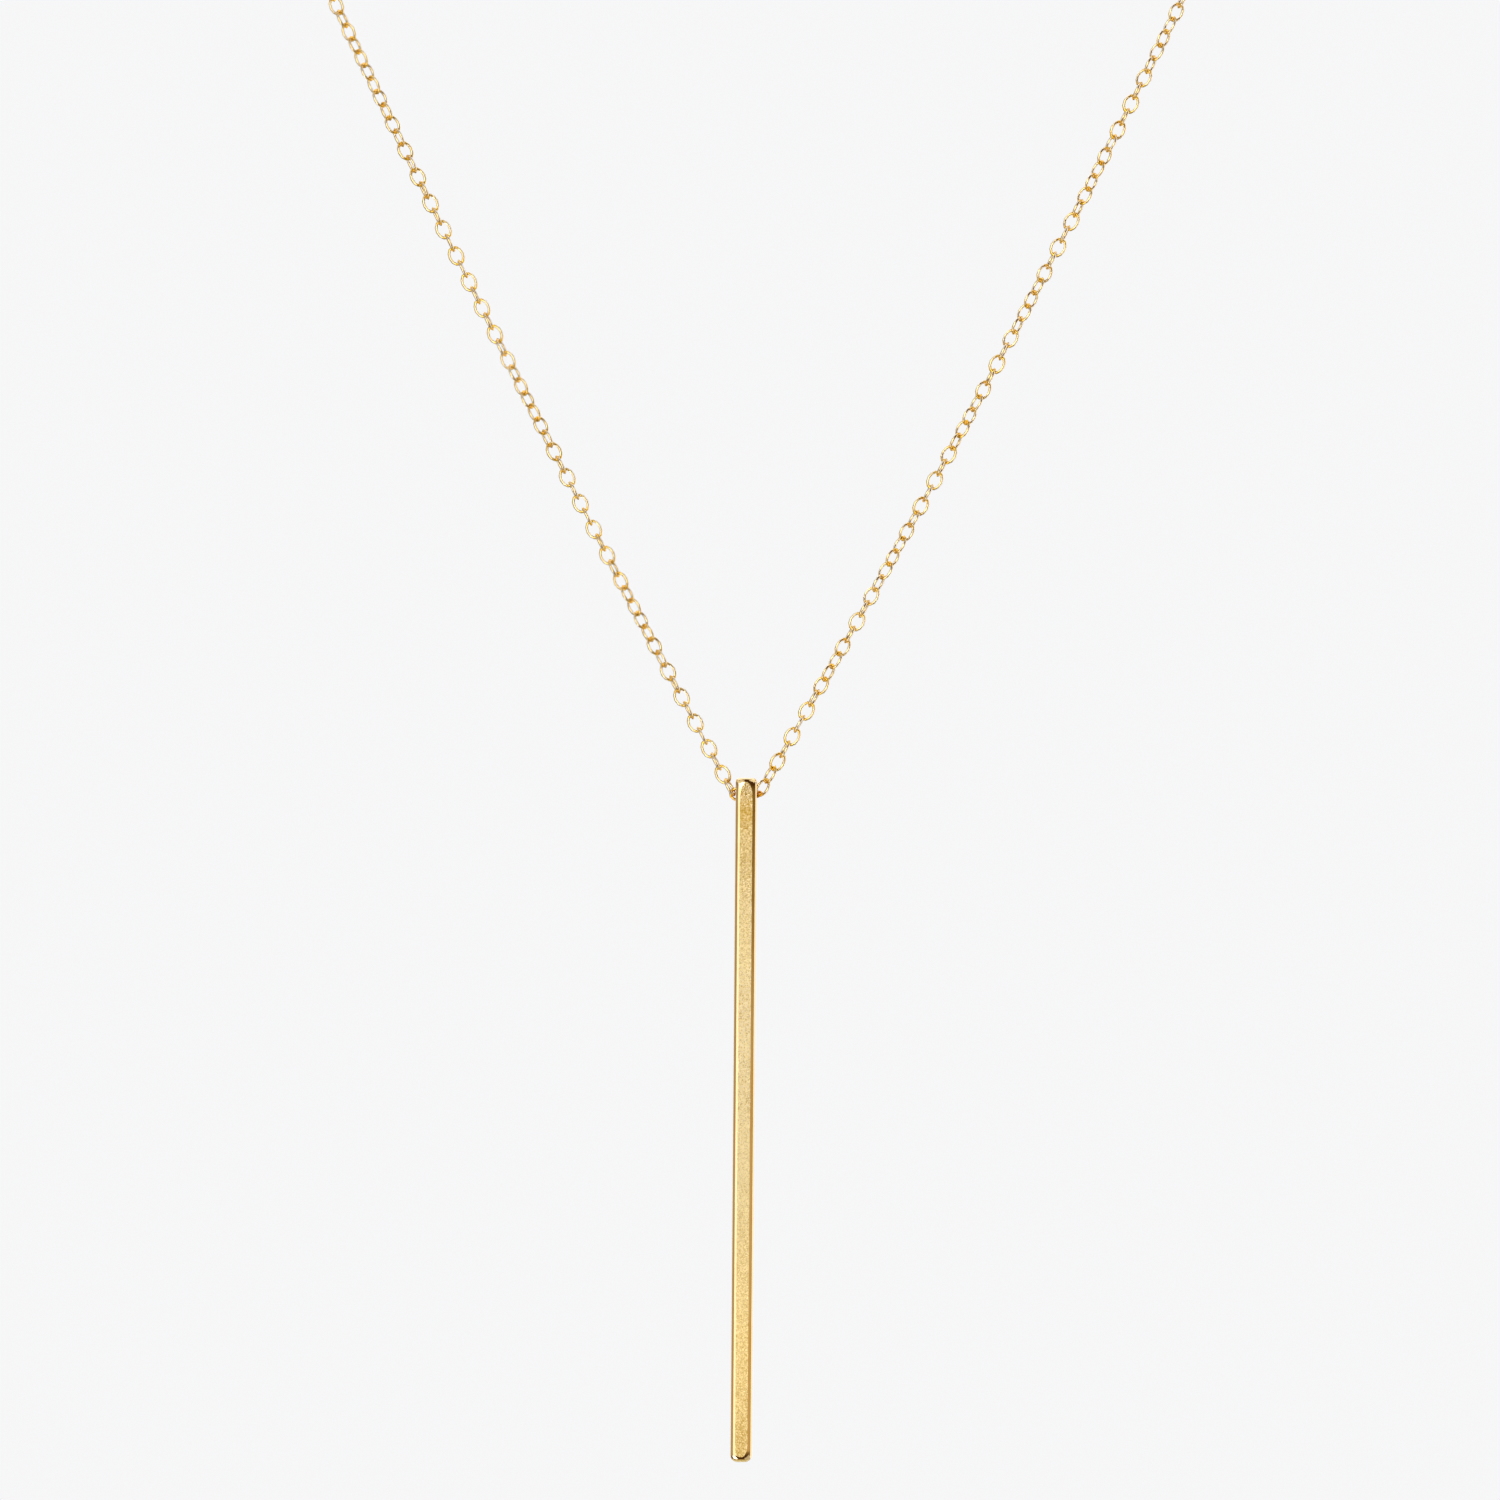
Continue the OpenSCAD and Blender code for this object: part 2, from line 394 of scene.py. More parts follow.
class Outline:
    """Outline of the bar seen from the front: its four edges, and the radii across and up of each corner."""

    def __init__(self, left, right, foot, top, radii):
        self.left = left
        self.right = right
        self.foot = foot
        self.top = top
        self.radii = radii

    def corner(self, x_way, z_way):
        """Centre and radii of one corner's arc."""
        across, up = self.radii[(x_way, z_way)]
        x = self.left + across if x_way < 0 else self.right - across
        z = self.top - up if z_way > 0 else self.foot + up
        return x, z, across, up

    def quarter(self, x_way, z_way, start_z, middle_x):
        """Line from the side at start_z round one corner and along the end to middle_x."""
        x, z, across, up = self.corner(x_way, z_way)
        points = [Vector((x + x_way * across, start_z))]
        for k in range(ARC_STEPS + 1):
            turn = math.radians(90 * k / ARC_STEPS)
            points.append(Vector((x + x_way * across * math.cos(turn), z + z_way * up * math.sin(turn))))
        points.append(Vector((middle_x, z + z_way * up)))
        return Path(points)


def bar_outlines(sizes):
    """The bar's silhouette and the outline of its satin face, which ends in tall arches."""
    top = (sizes.top_corner, sizes.top_corner)
    foot = (sizes.foot_corner, sizes.foot_corner)
    silhouette = Outline(
        BAR_LOW.x, BAR_HIGH.x, BAR_LOW.z, BAR_HIGH.z,
        {(-1, 1): top, (1, 1): top, (1, -1): foot, (-1, -1): foot},
    )
    satin = Outline(
        BAR_LOW.x + sizes.left_rim, BAR_HIGH.x - sizes.right_rim,
        BAR_LOW.z + sizes.foot_rim, BAR_HIGH.z - sizes.top_rim, SATIN_CORNERS,
    )
    return silhouette, satin


def rim_pair(spot, silhouette, satin):
    """The place on the satin outline that belongs to a spot of the silhouette, and the rim's width there."""
    x_way = -1 if spot.x < (silhouette.left + silhouette.right) / 2 else 1
    z_way = -1 if spot.y < (silhouette.foot + silhouette.top) / 2 else 1
    x, z, across = satin.corner(x_way, z_way)[:3]
    if (spot.y - z) * z_way <= 0:
        inner = Vector((x + x_way * across, spot.y))
        return inner, (spot - inner).length
    middle_x = (satin.corner(-1, z_way)[0] + satin.corner(1, z_way)[0]) / 2
    outer_path = silhouette.quarter(x_way, z_way, z, middle_x)
    inner_path = satin.quarter(x_way, z_way, z, middle_x)
    gone = outer_path.nearest(spot)[1]
    inner = inner_path.at(inner_path.length * gone / outer_path.length)
    return inner, outer_path.nearest(inner)[0]


def rim_steps(crease, count):
    """Shares outward and back of the rings of the rounded rim, from the silhouette to the satin face."""
    steps = []
    for k in range(count + 1):
        tilt = math.pi / 2 + (crease - math.pi / 2) * k / count
        outward = (math.sin(tilt) - math.sin(crease)) / (1 - math.sin(crease))
        back = (math.cos(crease) - math.cos(tilt)) / math.cos(crease)
        steps.append((outward, back))
    return steps


def cut_rows(silhouette, satin):
    """Cuts the block across near both ends and lengthways, so that its rim can follow the arches."""
    cuts = []
    for z_way in (-1, 1):
        start = silhouette.corner(1, z_way)[1]
        ends = [satin.corner(x_way, z_way)[1] for x_way in (-1, 1)]
        last = min(z_way * z for z in ends) * z_way
        heights = ends + [start + (last - start) * k / ROW_STEPS for k in range(1, ROW_STEPS)]
        cuts += [((0, 0, z), (0, 0, 1)) for z in heights]
    middle = (BAR_LOW.x + BAR_HIGH.x) / 2
    columns = range(-COLUMNS_EACH_SIDE, COLUMNS_EACH_SIDE + 1)
    cuts += [((middle + k * COLUMN_STEP, 0, 0), (1, 0, 0)) for k in columns]
    for place, across in cuts:
        bpy.ops.mesh.select_all(action="SELECT")
        bpy.ops.mesh.bisect(plane_co=place, plane_no=across, threshold=CUT_THRESHOLD)


def round_rim(bar, way, face_y, sizes, silhouette, satin):
    """Raises the bar's face at face_y in rings that round off its rim, up to the flat satin outline."""
    pick(bar, "faces", lambda f: all(abs(v.co.y - face_y) < SAME_PLACE for v in f.verts))
    bpy.ops.mesh.dissolve_faces()
    shape = bmesh.from_edit_mesh(bar.data)
    mark = shape.verts.layers.int.get("spot") or shape.verts.layers.int.new("spot")
    spots = []
    for vertex in [v for v in shape.verts if v.select]:
        vertex[mark] = len(spots)
        outer = Vector((vertex.co.x, vertex.co.z))
        inner, width = rim_pair(outer, silhouette, satin)
        spots.append((outer, inner, width * sizes.rim_fall))
    for k, (outward, back) in enumerate(rim_steps(sizes.rim_crease, RIM_RINGS)):
        if k > 0:
            bpy.ops.mesh.extrude_region_move()
        shape = bmesh.from_edit_mesh(bar.data)
        mark = shape.verts.layers.int["spot"]
        for vertex in [v for v in shape.verts if v.select]:
            outer, inner, depth = spots[vertex[mark]]
            place = inner.lerp(outer, outward)
            vertex.co = (place.x, face_y - way * depth * back, place.y)
        bmesh.update_edit_mesh(bar.data)


def shape_bar(sizes):
    """The bar without its hole: a block whose front and back rise in rings to the satin faces."""
    silhouette, satin = bar_outlines(sizes)
    bar = add_shape(
        "pendant_bar", bpy.ops.mesh.primitive_cube_add,
        size=1, location=(BAR_LOW + BAR_HIGH) / 2, scale=BAR_HIGH - BAR_LOW,
    )
    bpy.ops.object.mode_set(mode="EDIT")
    for z, radius in ((BAR_HIGH.z, sizes.top_corner), (BAR_LOW.z, sizes.foot_corner)):
        pick(bar, "edges", lambda e: (
            all(abs(v.co.z - z) < SAME_PLACE for v in e.verts)
            and abs(e.verts[0].co.y - e.verts[1].co.y) > SAME_PLACE
        ))
        bpy.ops.mesh.bevel(
            offset=radius, segments=CORNER_STEPS, profile=0.5, affect="EDGES", clamp_overlap=False
        )
    cut_rows(silhouette, satin)
    round_rim(bar, -1, BAR_LOW.y, sizes, silhouette, satin)
    round_rim(bar, 1, BAR_HIGH.y, sizes, silhouette, satin)
    bpy.ops.object.mode_set(mode="OBJECT")
    bar.data.attributes.remove(bar.data.attributes["spot"])
    return bar


def hole_cutter(sizes):
    """A round bar along X that widens in a rounded mouth at each side of the bar."""
    radius = sizes.hole_width / 2
    mouth = sizes.hole_mouth
    half = (BAR_HIGH.x - BAR_LOW.x) / 2
    stations = [(-half - mouth, radius + mouth)]
    for k in range(MOUTH_STEPS + 1):
        turn = math.radians(90 * k / MOUTH_STEPS)
        stations.append((-half + mouth - mouth * math.cos(turn), radius + mouth - mouth * math.sin(turn)))
    stations += [(-x, r) for x, r in reversed(stations)]
    cutter = add_shape(
        "hole_cutter", bpy.ops.mesh.primitive_circle_add,
        vertices=HOLE_SIDES, radius=stations[0][1], fill_type="NGON",
        location=HOLE_CENTRE + Vector((stations[0][0], 0, 0)), rotation=(0, math.pi / 2, 0),
    )
    bpy.ops.object.mode_set(mode="EDIT")
    bpy.ops.mesh.select_mode(type="FACE")
    bpy.ops.mesh.select_all(action="SELECT")
    for (x, r), (new_x, new_r) in zip(stations, stations[1:]):
        bpy.ops.mesh.extrude_region_move(TRANSFORM_OT_translate={"value": (new_x - x, 0, 0)})
        bpy.ops.transform.resize(
            value=(1, new_r / r, new_r / r), center_override=HOLE_CENTRE + Vector((new_x, 0, 0))
        )
    bpy.ops.mesh.select_all(action="SELECT")
    bpy.ops.mesh.normals_make_consistent(inside=False)
    bpy.ops.object.mode_set(mode="OBJECT")
    return cutter


def apply_modifier(piece, kind, **settings):
    """Adds one modifier to the piece and applies it."""
    select_only(piece)
    modifier = piece.modifiers.new(kind.lower(), kind)
    for name, value in settings.items():
        setattr(modifier, name, value)
    bpy.ops.object.modifier_apply(modifier=modifier.name)


def drill_bar(bar, sizes):
    """Cuts the cross hole through the bar."""
    cutter = hole_cutter(sizes)
    apply_modifier(bar, "BOOLEAN", operation="DIFFERENCE", solver="EXACT", object=cutter)
    bpy.data.objects.remove(cutter)


def is_satin(face):
    """Whether a face of the bar lies in its satin front or back."""
    return any(all(abs(v.co.y - y) < SAME_PLACE for v in face.verts) for y in (BAR_LOW.y, BAR_HIGH.y))


def is_side(face):
    """Whether a face of the bar lies in one of its two flat sides."""
    return any(all(abs(v.co.x - x) < SAME_PLACE for v in face.verts) for x in (BAR_LOW.x, BAR_HIGH.x))


def finish_bar(bar):
    """Smooth shading with a crisp line round the satin faces, and large flat faces kept flat."""
    select_only(bar)
    bpy.ops.object.shade_smooth_by_angle(angle=math.radians(35))
    bpy.ops.object.mode_set(mode="EDIT")
    pick(bar, "edges", lambda e: sum(is_satin(f) for f in e.link_faces) == 1)
    bpy.ops.mesh.mark_sharp()
    pick(bar, "faces", lambda f: is_satin(f) or is_side(f))
    bpy.ops.object.material_slot_assign()
    bpy.ops.object.mode_set(mode="OBJECT")
    apply_modifier(bar, "WEIGHTED_NORMAL", keep_sharp=True, weight=80)


def link_model(name, sizes):
    """One oval link round the origin, lying flat with its length along X."""
    length = sizes.pitch + 2 * sizes.wire + sizes.slack
    link = add_shape(
        name, bpy.ops.mesh.primitive_torus_add,
        major_radius=(sizes.width - sizes.wire) / 2, minor_radius=sizes.wire / 2,
        major_segments=LINK_STEPS, minor_segments=WIRE_SIDES,
    )
    bpy.ops.object.mode_set(mode="EDIT")
    for k in range(LINK_STEPS):
        out = math.cos(2 * math.pi * k / LINK_STEPS)
        pick(link, "verts", lambda v: v.index // WIRE_SIDES == k)
        bpy.ops.transform.translate(value=(out * (length - sizes.width) / 2, 0, 0))
    bpy.ops.object.mode_set(mode="OBJECT")
    bpy.ops.object.shade_smooth()
    hook = link.data.attributes.new("hook", "FLOAT", "POINT")
    hook.data.foreach_set("value", [abs(v.co.x) / (length / 2) for v in link.data.vertices])
    return link


def lay_links(name, model, places, seed, own_tones=None):
    """Copies the link to each place, each copy with its own mesh and tone, and joins them to one piece."""
    draw = random.Random(seed)
    copies = []
    for number, place in enumerate(places):
        copy = model.copy()
        copy.data = model.data.copy()
        copy.data.transform(place)
        tone = copy.data.attributes.new("tone", "FLOAT", "POINT")
        # Own tones above 1 stand for painted shade on a link.
        value = (own_tones or {}).get(number, draw.random())
        tone.data.foreach_set("value", [value] * len(copy.data.vertices))
        bpy.context.scene.collection.objects.link(copy)
        copies.append(copy)
    bpy.data.objects.remove(model)
    return join_pieces(name, copies)


def strand_crossings(side, pitch):
    """Where the links of an open strand cross, as steps along X and up from the centre of the cross hole."""
    foot_slope = math.tan(math.radians(V_FOOT_ANGLE))
    bend = (foot_slope - math.tan(math.radians(V_TOP_ANGLE))) / (2 * (V_HEIGHT - CROSSING_RISE))
    crossings = [(0, -CENTRE_DIP)]
    rise = 0
    while rise < V_HEIGHT - CROSSING_RISE:
        crossings.append((HOLE_PITCH + foot_slope * rise - bend * rise * rise, CROSSING_RISE + rise))
        rise += pitch / math.hypot(1, foot_slope - 2 * bend * rise)
    return [(side * out + V_LEAN * up - V_LEAN_FALL * up * up, up) for out, up in crossings]


def turned(turns, link):
    """How far a strand has turned at one of its links, between the links of the list."""
    for (before, start), (after, end) in zip(turns, turns[1:]):
        if link <= after:
            break
    return math.radians(start + (end - start) * (link - before) / (after - before))


def strand_places(side, sizes):
    """The places of the open links on one side, from the cross hole upwards. The left side is -1."""
    crossings = strand_crossings(side, sizes.pitch)
    places = []
    for k, ((x, z), (next_x, next_z)) in enumerate(zip(crossings, crossings[1:])):
        along = Vector((next_x - x, 0, next_z - z))
        middle = HOLE_CENTRE + Vector(((x + next_x) / 2, 0, (z + next_z) / 2))
        if k == 0:
            middle += along.normalized() * DRAWN_OUT
        if side < 0:
            roll = math.radians(90 - 90 * k) + turned(LEFT_TURNS, k)
        elif k == 0:
            roll = math.radians(RIGHT_HOLE_ROLL)
        else:
            roll = math.radians(-90 * k) - turned(RIGHT_TURNS, k)
        lean = math.atan2(along.z, along.x)
        places.append(
            Matrix.Translation(middle) @ Matrix.Rotation(-lean, 4, "Y") @ Matrix.Rotation(roll, 4, "X")
        )
    return places


def stretch(start, start_way, start_share, end, end_way, end_share):
    """Close points of a smooth curve that leaves start along one way and reaches end along the other."""
    span = (end - start).length
    pull = start + start_way * start_share * span
    push = end - end_way * end_share * span
    points = []
    for k in range(STRETCH_STEPS + 1):
        t = k / STRETCH_STEPS
        leaving = start * (1 - t) ** 3 + pull * (3 * (1 - t) ** 2 * t)
        points.append(leaving + push * (3 * (1 - t) * t * t) + end * t ** 3)
    return points


def neck_route(side, sizes):
    """Close points of the route from the top of the V, round one side of the neck, to the clasp's eye."""
    (x, z), (end_x, end_z) = [(side * x, z) for x, z in strand_crossings(side, sizes.pitch)[-2:]]
    heading = Vector((end_x - x, 0, end_z - z)).normalized()
    top = HOLE_CENTRE + Vector((end_x, 0, end_z))
    tube_start = top + heading * TUBE_START_REACH
    tube_end = Vector((TUBE_END_REACH, 0, 0))
    overhang = (sizes.wire + sizes.slack) / 2
    eye_hold = EYE_CENTRE + (EYE_WIDTH - EYE_WIRE) / 2 - (EYE_WIRE + sizes.wire) / 2 + overhang
    route = [top]
    route += stretch(tube_start, heading, END_PULL, NECK_SIDE, SIDE_HEADING, SIDE_PULL)
    route += stretch(NECK_SIDE, SIDE_HEADING, SIDE_PULL, tube_end, Vector((-1, 0, 0)), END_PULL)[1:]
    route.append(Vector((eye_hold, 0, 0)))
    return [Vector((side * p.x, p.y, p.z)) for p in route]


def even_steps(route, pitch):
    """Points on the route at even steps, as near to the pitch as a whole number of links allows."""
    path = Path(route)
    count = round(path.length / pitch)
    return [path.at(path.length * k / count) for k in range(count + 1)]


def carried(across, along):
    """The direction across a link, carried over to the next link's own length."""
    return (across - along * across.dot(along)).normalized()


def neck_places(side, sizes, last_open):
    """The places of the links round one side of the neck. The last one lies flat, to hook the eye."""
    points = even_steps(neck_route(side, sizes), sizes.pitch)
    ways = [(b - a).normalized() for a, b in zip(points, points[1:])]
    middles = [(a + b) / 2 for a, b in zip(points, points[1:])]
    quarter = math.pi / 2
    across = last_open.to_3x3() @ Vector((0, 1, 0))
    straight = []
    for way in ways:
        across = Matrix.Rotation(quarter, 3, way) @ carried(across, way)
        straight.append(across)
    level = carried(Vector((0, 1, 0)), ways[-1])
    short = math.atan2(straight[-1].cross(level).dot(ways[-1]), straight[-1].dot(level))
    short = (short + quarter) % math.pi - quarter
    draw = random.Random(sizes.seed + side)
    places = []
    for k, (way, middle) in enumerate(zip(ways, middles)):
        loose = draw.uniform(-LOOSE_TURN, LOOSE_TURN) * (k < len(ways) - 1)
        width_way = Matrix.Rotation(short * (k + 1) / len(ways) + loose, 3, way) @ straight[k]
        turn = Matrix((way, width_way, way.cross(width_way))).transposed().to_4x4()
        places.append(Matrix.Translation(middle) @ turn)
    return places


def feed(tree, node, inputs):
    """Puts a constant or a link on each named input of a node. Colours are given without their opacity."""
    for name, value in inputs.items():
        socket = node.inputs[name]
        if isinstance(value, bpy.types.NodeSocket):
            tree.links.new(value, socket)
        elif socket.type == "RGBA":
            socket.default_value = (*value, 1)
        else:
            socket.default_value = value


def add_node(tree, kind, inputs=None, **settings):
    """A new node with its settings, and with constants or links on its named inputs."""
    node = tree.nodes.new(kind)
    for name, value in settings.items():
        setattr(node, name, value)
    feed(tree, node, inputs or {})
    return node


def spread(tree, value, low=0.0, high=1.0, to_low=0.0, to_high=1.0, **settings):
    """The value carried from its own range to another, and held within it."""
    return add_node(tree, "ShaderNodeMapRange", {
        "Value": value, "From Min": low, "From Max": high, "To Min": to_low, "To Max": to_high,
    }, **settings).outputs["Result"]


def blend(tree, share, first, second):
    """The first colour mixed towards the second by the share."""
    return add_node(tree, "ShaderNodeMix", {0: share, 6: first, 7: second}, data_type="RGBA").outputs[2]


def calculate(tree, operation, *values, clamp=False):
    """The result of one math node."""
    node = add_node(tree, "ShaderNodeMath", dict(enumerate(values)), operation=operation, use_clamp=clamp)
    return node.outputs[0]


def raised(tree, height, strength, distance):
    """The normal of a surface that the height raises by up to the distance."""
    return add_node(tree, "ShaderNodeBump", {
        "Height": height, "Strength": strength, "Distance": distance,
    }).outputs["Normal"]


def colour_ramp(tree, share, stops):
    """The colour at a share of a ramp. Each stop is a place and a colour, the first at 0, the last at 1."""
    ramp = add_node(tree, "ShaderNodeValToRGB", {"Fac": share})
    elements = ramp.color_ramp.elements
    elements[0].color = (*stops[0][1], 1)
    elements[1].color = (*stops[-1][1], 1)
    for place, colour in stops[1:-1]:
        elements.new(place).color = (*colour, 1)
    return ramp.outputs["Color"]


def start_group(name, inputs, outputs):
    """An empty shader node group: its tree, the sockets that it is given, and its output node."""
    tree = bpy.data.node_groups.new(name, "ShaderNodeTree")
    for socket_name, kind, value in inputs:
        socket = tree.interface.new_socket(name=socket_name, in_out="INPUT", socket_type="NodeSocket" + kind)
        if value is not None:
            socket.default_value = value
    for socket_name, kind in outputs:
        tree.interface.new_socket(name=socket_name, in_out="OUTPUT", socket_type="NodeSocket" + kind)
    return tree, tree.nodes.new("NodeGroupInput").outputs, tree.nodes.new("NodeGroupOutput")


def tone_group(name):
    """Slow drift between a light and a deep tone of the gold."""
    tree, given, out = start_group(
        name,
        [("Vector", "Vector", None), ("Patch Scale", "Float", 600.0), ("Depth", "Float", 0.5),
         ("Light", "Color", (1, 1, 1, 1)), ("Deep", "Color", (0, 0, 0, 1))],
        [("Color", "Color")],
    )
    patches = add_node(tree, "ShaderNodeTexNoise", {
        "Vector": given["Vector"], "Scale": given["Patch Scale"], "Detail": 3.0, "Roughness": 0.6,
    })
    patch = spread(tree, patches.outputs["Fac"], 0.35, 0.7)
    share = calculate(tree, "MULTIPLY", patch, given["Depth"])
    feed(tree, out, {"Color": blend(tree, share, given["Light"], given["Deep"])})
    return tree


def grain_group(name):
    """Grain of a blasted surface: rough pits and ridges, broken up into crystals, whose Mask and Glint
    outputs choose where shade and glints are painted.
    """
    tree, given, out = start_group(
        name,
        [("Vector", "Vector", None), ("Grain Scale", "Float", 9000.0), ("Contrast", "Float", 1.0)],
        [("Height", "Float"), ("Mask", "Float"), ("Glint", "Float")],
    )
    pits = add_node(tree, "ShaderNodeTexNoise", {
        "Vector": given["Vector"], "Scale": given["Grain Scale"], "Detail": 2.0, "Roughness": 0.6,
    }).outputs["Fac"]
    crystals = add_node(tree, "ShaderNodeTexVoronoi", {
        "Vector": given["Vector"], "Scale": given["Grain Scale"],
    }, feature="F1")
    glint = add_node(tree, "ShaderNodeSeparateColor", {"Color": crystals.outputs["Color"]}).outputs
    uneven = calculate(tree, "MULTIPLY_ADD", glint["Red"], 0.35, pits)
    feed(tree, out, {
        "Height": calculate(tree, "MULTIPLY", pits, given["Contrast"]),
        "Mask": spread(tree, uneven, 0.45, 0.9),
        "Glint": glint["Green"],
    })
    return tree


def polish_group(name):
    """Fine lines that polishing leaves, drawn out along one axis by the vector's own scale."""
    tree, given, out = start_group(
        name,
        [("Vector", "Vector", None), ("Line Scale", "Float", 6000.0)],
        [("Height", "Float"), ("Mask", "Float")],
    )
    lines = add_node(tree, "ShaderNodeTexNoise", {
        "Vector": given["Vector"], "Scale": given["Line Scale"], "Detail": 4.0, "Roughness": 0.65,
    }).outputs["Fac"]
    feed(tree, out, {"Height": lines, "Mask": spread(tree, lines, 0.3, 0.7)})
    return tree


def use_group(tree, name, make, inputs):
    """The outputs of a shared group with these inputs. The group is made on its first use."""
    group = bpy.data.node_groups.get(name) or make(name)
    return add_node(tree, "ShaderNodeGroup", inputs, node_tree=group).outputs


def start_material(name):
    """A new metal material, its tree, its Principled shader and the piece's own coordinates."""
    material = bpy.data.materials.new(name)
    material.use_nodes = True
    tree = material.node_tree
    tree.nodes.clear()
    shader = add_node(tree, "ShaderNodeBsdfPrincipled", {"Metallic": 1.0})
    add_node(tree, "ShaderNodeOutputMaterial", {"Surface": shader.outputs["BSDF"]})
    place = tree.nodes.new("ShaderNodeTexCoord").outputs["Object"]
    return material, tree, shader, place


def satin_gold(colours):
    """Blasted gold of the bar's faces: the grain is coarse near the top and fine in the middle. Its pits are
    darkened with painted shade and its bright crystals are painted glints.
    """
    material, tree, shader, place = start_material("satin gold")
    height = add_node(tree, "ShaderNodeSeparateXYZ", {"Vector": place}).outputs["Z"]
    ramp = colour_ramp(tree, spread(tree, height, BAR_LOW.z, BAR_HIGH.z), SATIN_LEVELS)
    level = add_node(tree, "ShaderNodeSeparateColor", {"Color": ramp}).outputs
    depth, relief, contrast = level["Red"], level["Green"], level["Blue"]
    grain = use_group(tree, "blasted grain", grain_group, {
        "Vector": place, "Grain Scale": 12000.0, "Contrast": relief,
    })
    tone = use_group(tree, "gold tone", tone_group, {
        "Vector": place, "Patch Scale": 500.0, "Depth": 0.2,
        "Light": colours.satin, "Deep": colours.satin_deep_and_pit_shade,
    })
    # The pits of the grain are darkened towards the deep satin gold: painted shade.
    pits = spread(tree, grain["Mask"], to_low=0.8, to_high=-0.8)
    pit_shade_and_depth = calculate(tree, "MULTIPLY_ADD", pits, contrast, depth, clamp=True)
    pit_shaded = blend(tree, pit_shade_and_depth, tone["Color"], colours.satin_deep_and_pit_shade)
    # Bright crystals get painted glints: a paler colour and a lower roughness.
    glint = calculate(tree, "MULTIPLY", grain["Glint"], contrast)
    painted_glints = spread(tree, glint, 0.3, to_high=0.9)
    feed(tree, shader, {
        "Base Color": blend(tree, painted_glints, pit_shaded, colours.painted_glints),
        "Roughness": spread(tree, glint, to_low=0.5, to_high=0.32),
        "Normal": raised(tree, grain["Height"], 1.0, 0.065 * MM),
    })
    return material


def polished_gold(name, colours, line_stretch, roughness):
    """Polished gold with faint lines and slightly deeper patches."""
    material, tree, shader, place = start_material(name)
    drawn = add_node(tree, "ShaderNodeMapping", {"Vector": place, "Scale": line_stretch}).outputs["Vector"]
    lines = use_group(tree, "polish lines", polish_group, {"Vector": drawn, "Line Scale": 6000.0})
    tone = use_group(tree, "gold tone", tone_group, {
        "Vector": place, "Patch Scale": 450.0, "Depth": 0.5,
        "Light": colours.polished, "Deep": colours.polished_deep,
    })
    feed(tree, shader, {
        "Base Color": tone["Color"],
        "Roughness": spread(tree, lines["Mask"], to_low=roughness, to_high=roughness + 0.08),
        "Normal": raised(tree, lines["Height"], 0.15, 0.004 * MM),
    })
    return material


def chain_gold(colours):
    """Gold of the links: pale along the wire's sides, where the pale colour is a painted sheen, deeper along
    its middle, and deeper in its hooks and in the two links of the cross hole, where the deep colours are
    painted shade and gold-on-gold reflection.
    """
    material, tree, shader, place = start_material("chain gold")
    tone = add_node(tree, "ShaderNodeAttribute", attribute_name="tone").outputs["Fac"]
    hook = add_node(tree, "ShaderNodeAttribute", attribute_name="hook").outputs["Fac"]
    # The wire's sides, seen edge-on, are paled towards the chain colour: a painted sheen.
    facing = add_node(tree, "ShaderNodeLayerWeight", {"Blend": 0.5}).outputs["Facing"]
    middle = spread(tree, facing, 0.03, 0.28, 1.0, 0.0)
    wire = blend(tree, middle, colours.chain, colours.chain_middle)
    # The ends of each link, where it hooks the next, are deepened with painted shade and gold-on-gold
    # reflection.
    hook_shade = spread(tree, hook, 0.45, 0.9, to_high=0.95)
    depth = calculate(tree, "MULTIPLY_ADD", tone, 0.25, hook_shade, clamp=True)
    toned_and_hook_shaded = blend(tree, depth, wire, colours.chain_deep_and_hook_shade)
    # Tones beyond 1 turn the two links in the cross hole to painted shade and reflection.
    hole_shade = spread(tree, tone, 1.0, RIGHT_HOLE_SHADE)
    lines = use_group(tree, "polish lines", polish_group, {"Vector": place, "Line Scale": 5000.0})
    feed(tree, shader, {
        "Base Color": blend(tree, hole_shade, toned_and_hook_shaded, colours.hole_link_shade),
        "Roughness": spread(tree, lines["Mask"], to_low=0.2, to_high=0.3),
    })
    return material


def dress(piece, body, slot, *nodes):
    """Hands a finished piece to the frame: parents it to its body and hides the nodes that it stands for.
    The slot is not used.
    """
    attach(piece, body)
    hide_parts(*nodes)


class PENDANT_OT_bar(bpy.types.Operator):
    """Builds the bar with its satin faces, polished rims and cross hole"""

    bl_idname = "pendant.bar"
    bl_label = "Build Bar"

    def execute(self, context):
        sizes = context.scene.pendant_bar
        colours = context.scene.pendant_gold
        bar = shape_bar(sizes)
        drill_bar(bar, sizes)
        set_materials(bar, polished_gold("polished gold", colours, (1, 1, 0.04), 0.08), satin_gold(colours))
        bar.active_material_index = 1
        finish_bar(bar)
        dress(bar, "pendant", "bar_gold", "bar")
        return {"FINISHED"}


class PENDANT_OT_open_chain(bpy.types.Operator):
    """Builds the open links of the V, from the cross hole up both sides"""

    bl_idname = "pendant.open_chain"
    bl_label = "Build Open Chain"

    def execute(self, context):
        sizes = context.scene.pendant_chain
        left = strand_places(-1, sizes)
        right = strand_places(1, sizes)
        in_hole = {0: LEFT_HOLE_SHADE, len(left): RIGHT_HOLE_SHADE}
        chain = lay_links("open_chain", link_model("open_link", sizes), left + right, sizes.seed, in_hole)
        set_materials(chain, chain_gold(context.scene.pendant_gold))
        dress(chain, "necklace", "chain_gold", "chain_front")
        return {"FINISHED"}


